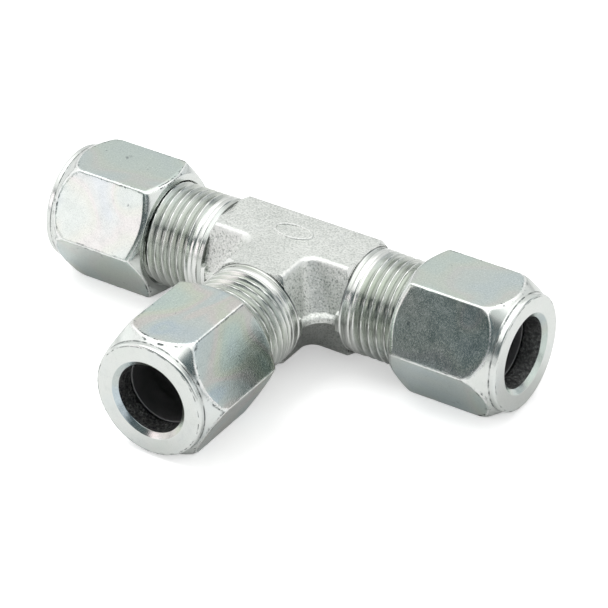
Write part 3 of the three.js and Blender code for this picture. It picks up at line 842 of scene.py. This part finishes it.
# ---- ferrules ---------------------------------------------------------------------------------------------------------
def ferrule(port):
    t = FERRULE_TAIL
    f = FERRULE_R_IN
    pts = [
        (FERRULE_NOSE, f + 0.03, 0.05), (FERRULE_NOSE, 6.92, 0.08), (35.2, 7.15, 0.3), (36.6, 7.9, 0.4), (40.35, 7.9, 0.25),
        (t, 6.8, 0.12), (t, f + 0.02, 0.08), (36.1, f, 0.0), (35.7, 6.62, 0.0), (33.7, 6.62, 0.0), (33.3, f, 0.0),
    ]
    prof = resampled(rounded(pts, closed=True), lambda p: 0.6, closed=True)
    obj = lathe(port + "_ferrule_visual", port, prof, 144, shift=BACKED_OFF[port] * PITCH, materials=(blackened,), sharp=40.0)
    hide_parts(port + "_ferrule")
    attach(obj, port + "_ferrule")


tee_body()
for i, port in enumerate(PORTS):
    nut(port, 3.1 + 1.7 * i)
    ferrule(port)


# ---- stage ------------------------------------------------------------------------------------------------------------
FLOOR_Z = (PAD_H - NUT_AF / 2) / 1000 - 0.00002


def plane(name, corners, material):
    mesh = bpy.data.meshes.new(name)
    mesh.from_pydata([tuple(c) for c in corners], [], [(0, 1, 2, 3)])
    mesh.materials.append(material)
    obj = bpy.data.objects.new(name, mesh)
    bpy.context.scene.collection.objects.link(obj)
    return obj


def shading(owner):
    """An empty node tree on a material or world, with short hands to build it."""
    owner.use_nodes = True
    tree = owner.node_tree
    tree.nodes.clear()
    n = Nodes.__new__(Nodes)
    n.tree = tree
    return n


def polished_only(name, corners, colour, strength, fade_u, fade_v):
    """A soft-edged card that only polished surfaces see. Fades are the shares of its width and height at each edge."""
    m = bpy.data.materials.new(name)
    n = shading(m)
    u, v, w = n.xyz(n.add("ShaderNodeTexCoord").outputs["Generated"])
    across = n.math("MULTIPLY", n.span(u, 0.0, fade_u, 0.0, 1.0), n.span(u, 1.0, 1.0 - fade_u, 0.0, 1.0))
    upward = n.math("MULTIPLY", n.span(w, 0.0, fade_v, 0.0, 1.0), n.span(w, 1.0, 1.0 - fade_v, 0.0, 1.0))
    glow = n.add("ShaderNodeEmission")
    glow.inputs[0].default_value = (*colour, 1)
    glow.inputs[1].default_value = strength
    clear = n.add("ShaderNodeBsdfTransparent")
    mixed = n.add("ShaderNodeMixShader")
    n.link(n.math("MULTIPLY", across, upward), mixed.inputs[0])
    n.link(clear.outputs[0], mixed.inputs[1])
    n.link(glow.outputs[0], mixed.inputs[2])
    n.link(mixed.outputs[0], n.add("ShaderNodeOutputMaterial").inputs[0])
    card = plane(name, [(x / 1000, y / 1000, z / 1000) for x, y, z in corners], m)
    card.visible_camera = False
    card.visible_diffuse = False
    card.visible_shadow = False
    card.visible_transmission = False
    return card


def floor_material():
    """White paper: a little brighter to the camera than in reflections, so that it burns out as a product sheet does."""
    m = bpy.data.materials.new("floor")
    n = shading(m)
    seen = n.add("ShaderNodeLightPath").outputs["Is Camera Ray"]
    b = n.add("ShaderNodeBsdfDiffuse")
    n.link(n.mix(seen, (0.73, 0.73, 0.725, 1), (0.86, 0.86, 0.86, 1)), b.inputs[0])
    glow = n.add("ShaderNodeEmission")
    glow.inputs[0].default_value = (1, 1, 1, 1)
    n.link(n.math("MULTIPLY", seen, 0.41), glow.inputs[1])
    both = n.add("ShaderNodeAddShader")
    n.link(b.outputs[0], both.inputs[0])
    n.link(glow.outputs[0], both.inputs[1])
    n.link(both.outputs[0], n.add("ShaderNodeOutputMaterial").inputs[0])
    return m


plane("floor", [(-2, -2, FLOOR_Z), (2, -2, FLOOR_Z), (2, 2, FLOOR_Z), (-2, 2, FLOOR_Z)], floor_material())
dark = (0.085, 0.11, 0.115)
polished_only("dark_card_front", [(-340, -330, 80), (360, -330, 80), (360, -330, 320), (-340, -330, 320)], dark, 1.0, 0.05, 0.12)
polished_only("dark_card_right", [(255, -328, 80), (475, -328, 80), (475, -328, 440), (255, -328, 440)], dark, 1.0, 0.14, 0.10)
polished_only("white_card_left", [(-340, -322, 30), (-166, -322, 30), (-166, -322, 225), (-340, -322, 225)], (1.0, 0.925, 0.95), 1.53, 0.14, 0.10)


def tent():
    """Light tent as polished metal sees it, by direction; everything else is lit by plain white."""
    world = bpy.data.worlds.new("tent")
    bpy.context.scene.world = world
    n = shading(world)
    d = n.xyz(n.add("ShaderNodeTexCoord").outputs["Generated"])
    # 0 straight ahead (-y), +-0.5 at the back, positive towards +x
    az = n.math("DIVIDE", n.math("ARCTAN2", d[0], n.math("MULTIPLY", d[1], -1.0)), 2 * math.pi)
    low = n.ramp(
        n.math("ADD", az, 0.5),
        [
            ((a + 180) / 360, (v * t[0], v * t[1], v * t[2]))
            for a, v, t in (
                (-180, 0.80, (0.99, 1.0, 0.99)), (-140, 0.76, (0.99, 1.0, 0.99)), (-115, 0.95, (1, 1, 1)), (-100, 1.15, (1, 1, 1)),
                (-60, 1.05, (1, 1, 1)), (-40, 0.85, (1, 1, 1)), (44, 0.80, (1, 1, 1)), (52, 0.34, (0.93, 1.0, 1.03)), (62, 0.50, (0.96, 1.0, 1.01)),
                (84, 0.90, (1, 1, 1)), (110, 1.02, (1, 1, 1)), (130, 0.88, (0.98, 1.0, 1.0)), (150, 0.78, (0.97, 1.0, 1.01)), (180, 0.80, (0.99, 1.0, 0.99)),
            )
        ],
    )
    el = n.math("DIVIDE", n.math("ARCSINE", d[2]), math.pi / 2)
    high = n.ramp(
        el,
        [(v / 90, (c, c, c * 0.99)) for v, c in ((0, 0.68), (15, 0.70), (25, 0.78), (35, 0.86), (44, 1.10), (54, 1.55), (90, 1.65))],
    )
    both = n.mix(n.span(el, 24 / 90, 44 / 90, 0.0, 1.0), low, high)
    both = n.mix(n.span(el, 0.0, 9 / 90, 0.55, 0.0), both, (0.16, 0.18, 0.18, 1))
    # dark stands above the lens and behind on the right
    for at_az, at_el, wide, tall, colour in (
        (92, 52, 14, 10, (0.62, 0.66, 0.64, 1)),
        (70, 40, 16, 13, (0.04, 0.06, 0.065, 1)),
        (46, 44, 18, 19, (0.03, 0.075, 0.09, 1)),
        (144, 22, 12, 11, (0.10, 0.13, 0.15, 1)),
    ):
        aside = n.math("DIVIDE", n.math("SUBTRACT", az, at_az / 360), wide / 360)
        above = n.math("DIVIDE", n.math("SUBTRACT", el, at_el / 90), tall / 90)
        away = n.math("ADD", n.math("MULTIPLY", aside, aside), n.math("MULTIPLY", above, above))
        both = n.mix(n.span(away, 0.45, 1.4, 0.95, 0.0), both, colour)
    seen = n.add("ShaderNodeLightPath").outputs["Is Glossy Ray"]
    bg = n.add("ShaderNodeBackground")
    n.link(n.mix(seen, (1.0, 1.0, 1.0, 1), both), bg.inputs[0])
    bg.inputs[1].default_value = 1.0
    n.link(bg.outputs[0], n.add("ShaderNodeOutputWorld").inputs[0])
    world.cycles.sampling_method = "NONE"


tent()


def area(name, location, target, size, power):
    """Soft lamp for the shadows on the floor."""
    light = bpy.data.lights.new(name, "AREA")
    light.shape = "RECTANGLE"
    light.size, light.size_y = size
    light.energy = power
    obj = bpy.data.objects.new(name, light)
    obj.location = location
    obj.rotation_euler = (Vector(target) - Vector(location)).to_track_quat("-Z", "Y").to_euler()
    obj.visible_glossy = False
    bpy.context.scene.collection.objects.link(obj)
    return obj


area("overhead_left", (-0.26, -0.02, 0.52), (0, -0.01, 0), (0.40, 0.40), 1.5)

# ---- camera -----------------------------------------------------------------------------------------------------------
AZ, EL, ROLL = (math.radians(v) for v in (33.093, 33.061, -0.263))
DIST, FOCAL_PX, TX, TZ = 620.3, 3538.5, 0.940, -5.057
back = np.array([math.sin(AZ) * math.cos(EL), -math.cos(AZ) * math.cos(EL), math.sin(EL)])
right = np.array([math.cos(AZ), math.sin(AZ), 0.0])
upv = np.cross(back, right)
r2 = math.cos(ROLL) * right + math.sin(ROLL) * upv
u2 = -math.sin(ROLL) * right + math.cos(ROLL) * upv
where = (back * DIST + r2 * TX + u2 * TZ + np.array([0, 0, PAD_H])) / 1000
cam_data = bpy.data.cameras.new("camera")
cam_data.sensor_fit = "HORIZONTAL"
cam_data.sensor_width = 36.0
cam_data.lens = FOCAL_PX / 608 * 36.0
cam_data.clip_start = 0.01
cam_data.clip_end = 20
cam = bpy.data.objects.new("camera", cam_data)
m = Matrix.Identity(4)
for i in range(3):
    m[i][0], m[i][1], m[i][2], m[i][3] = r2[i], u2[i], back[i], where[i]
cam.matrix_world = m
bpy.context.scene.collection.objects.link(cam)
bpy.context.scene.camera = cam

view = bpy.context.scene.view_settings
view.view_transform = "Standard"
view.look = "None"
view.exposure = 0.0
view.gamma = 1.0
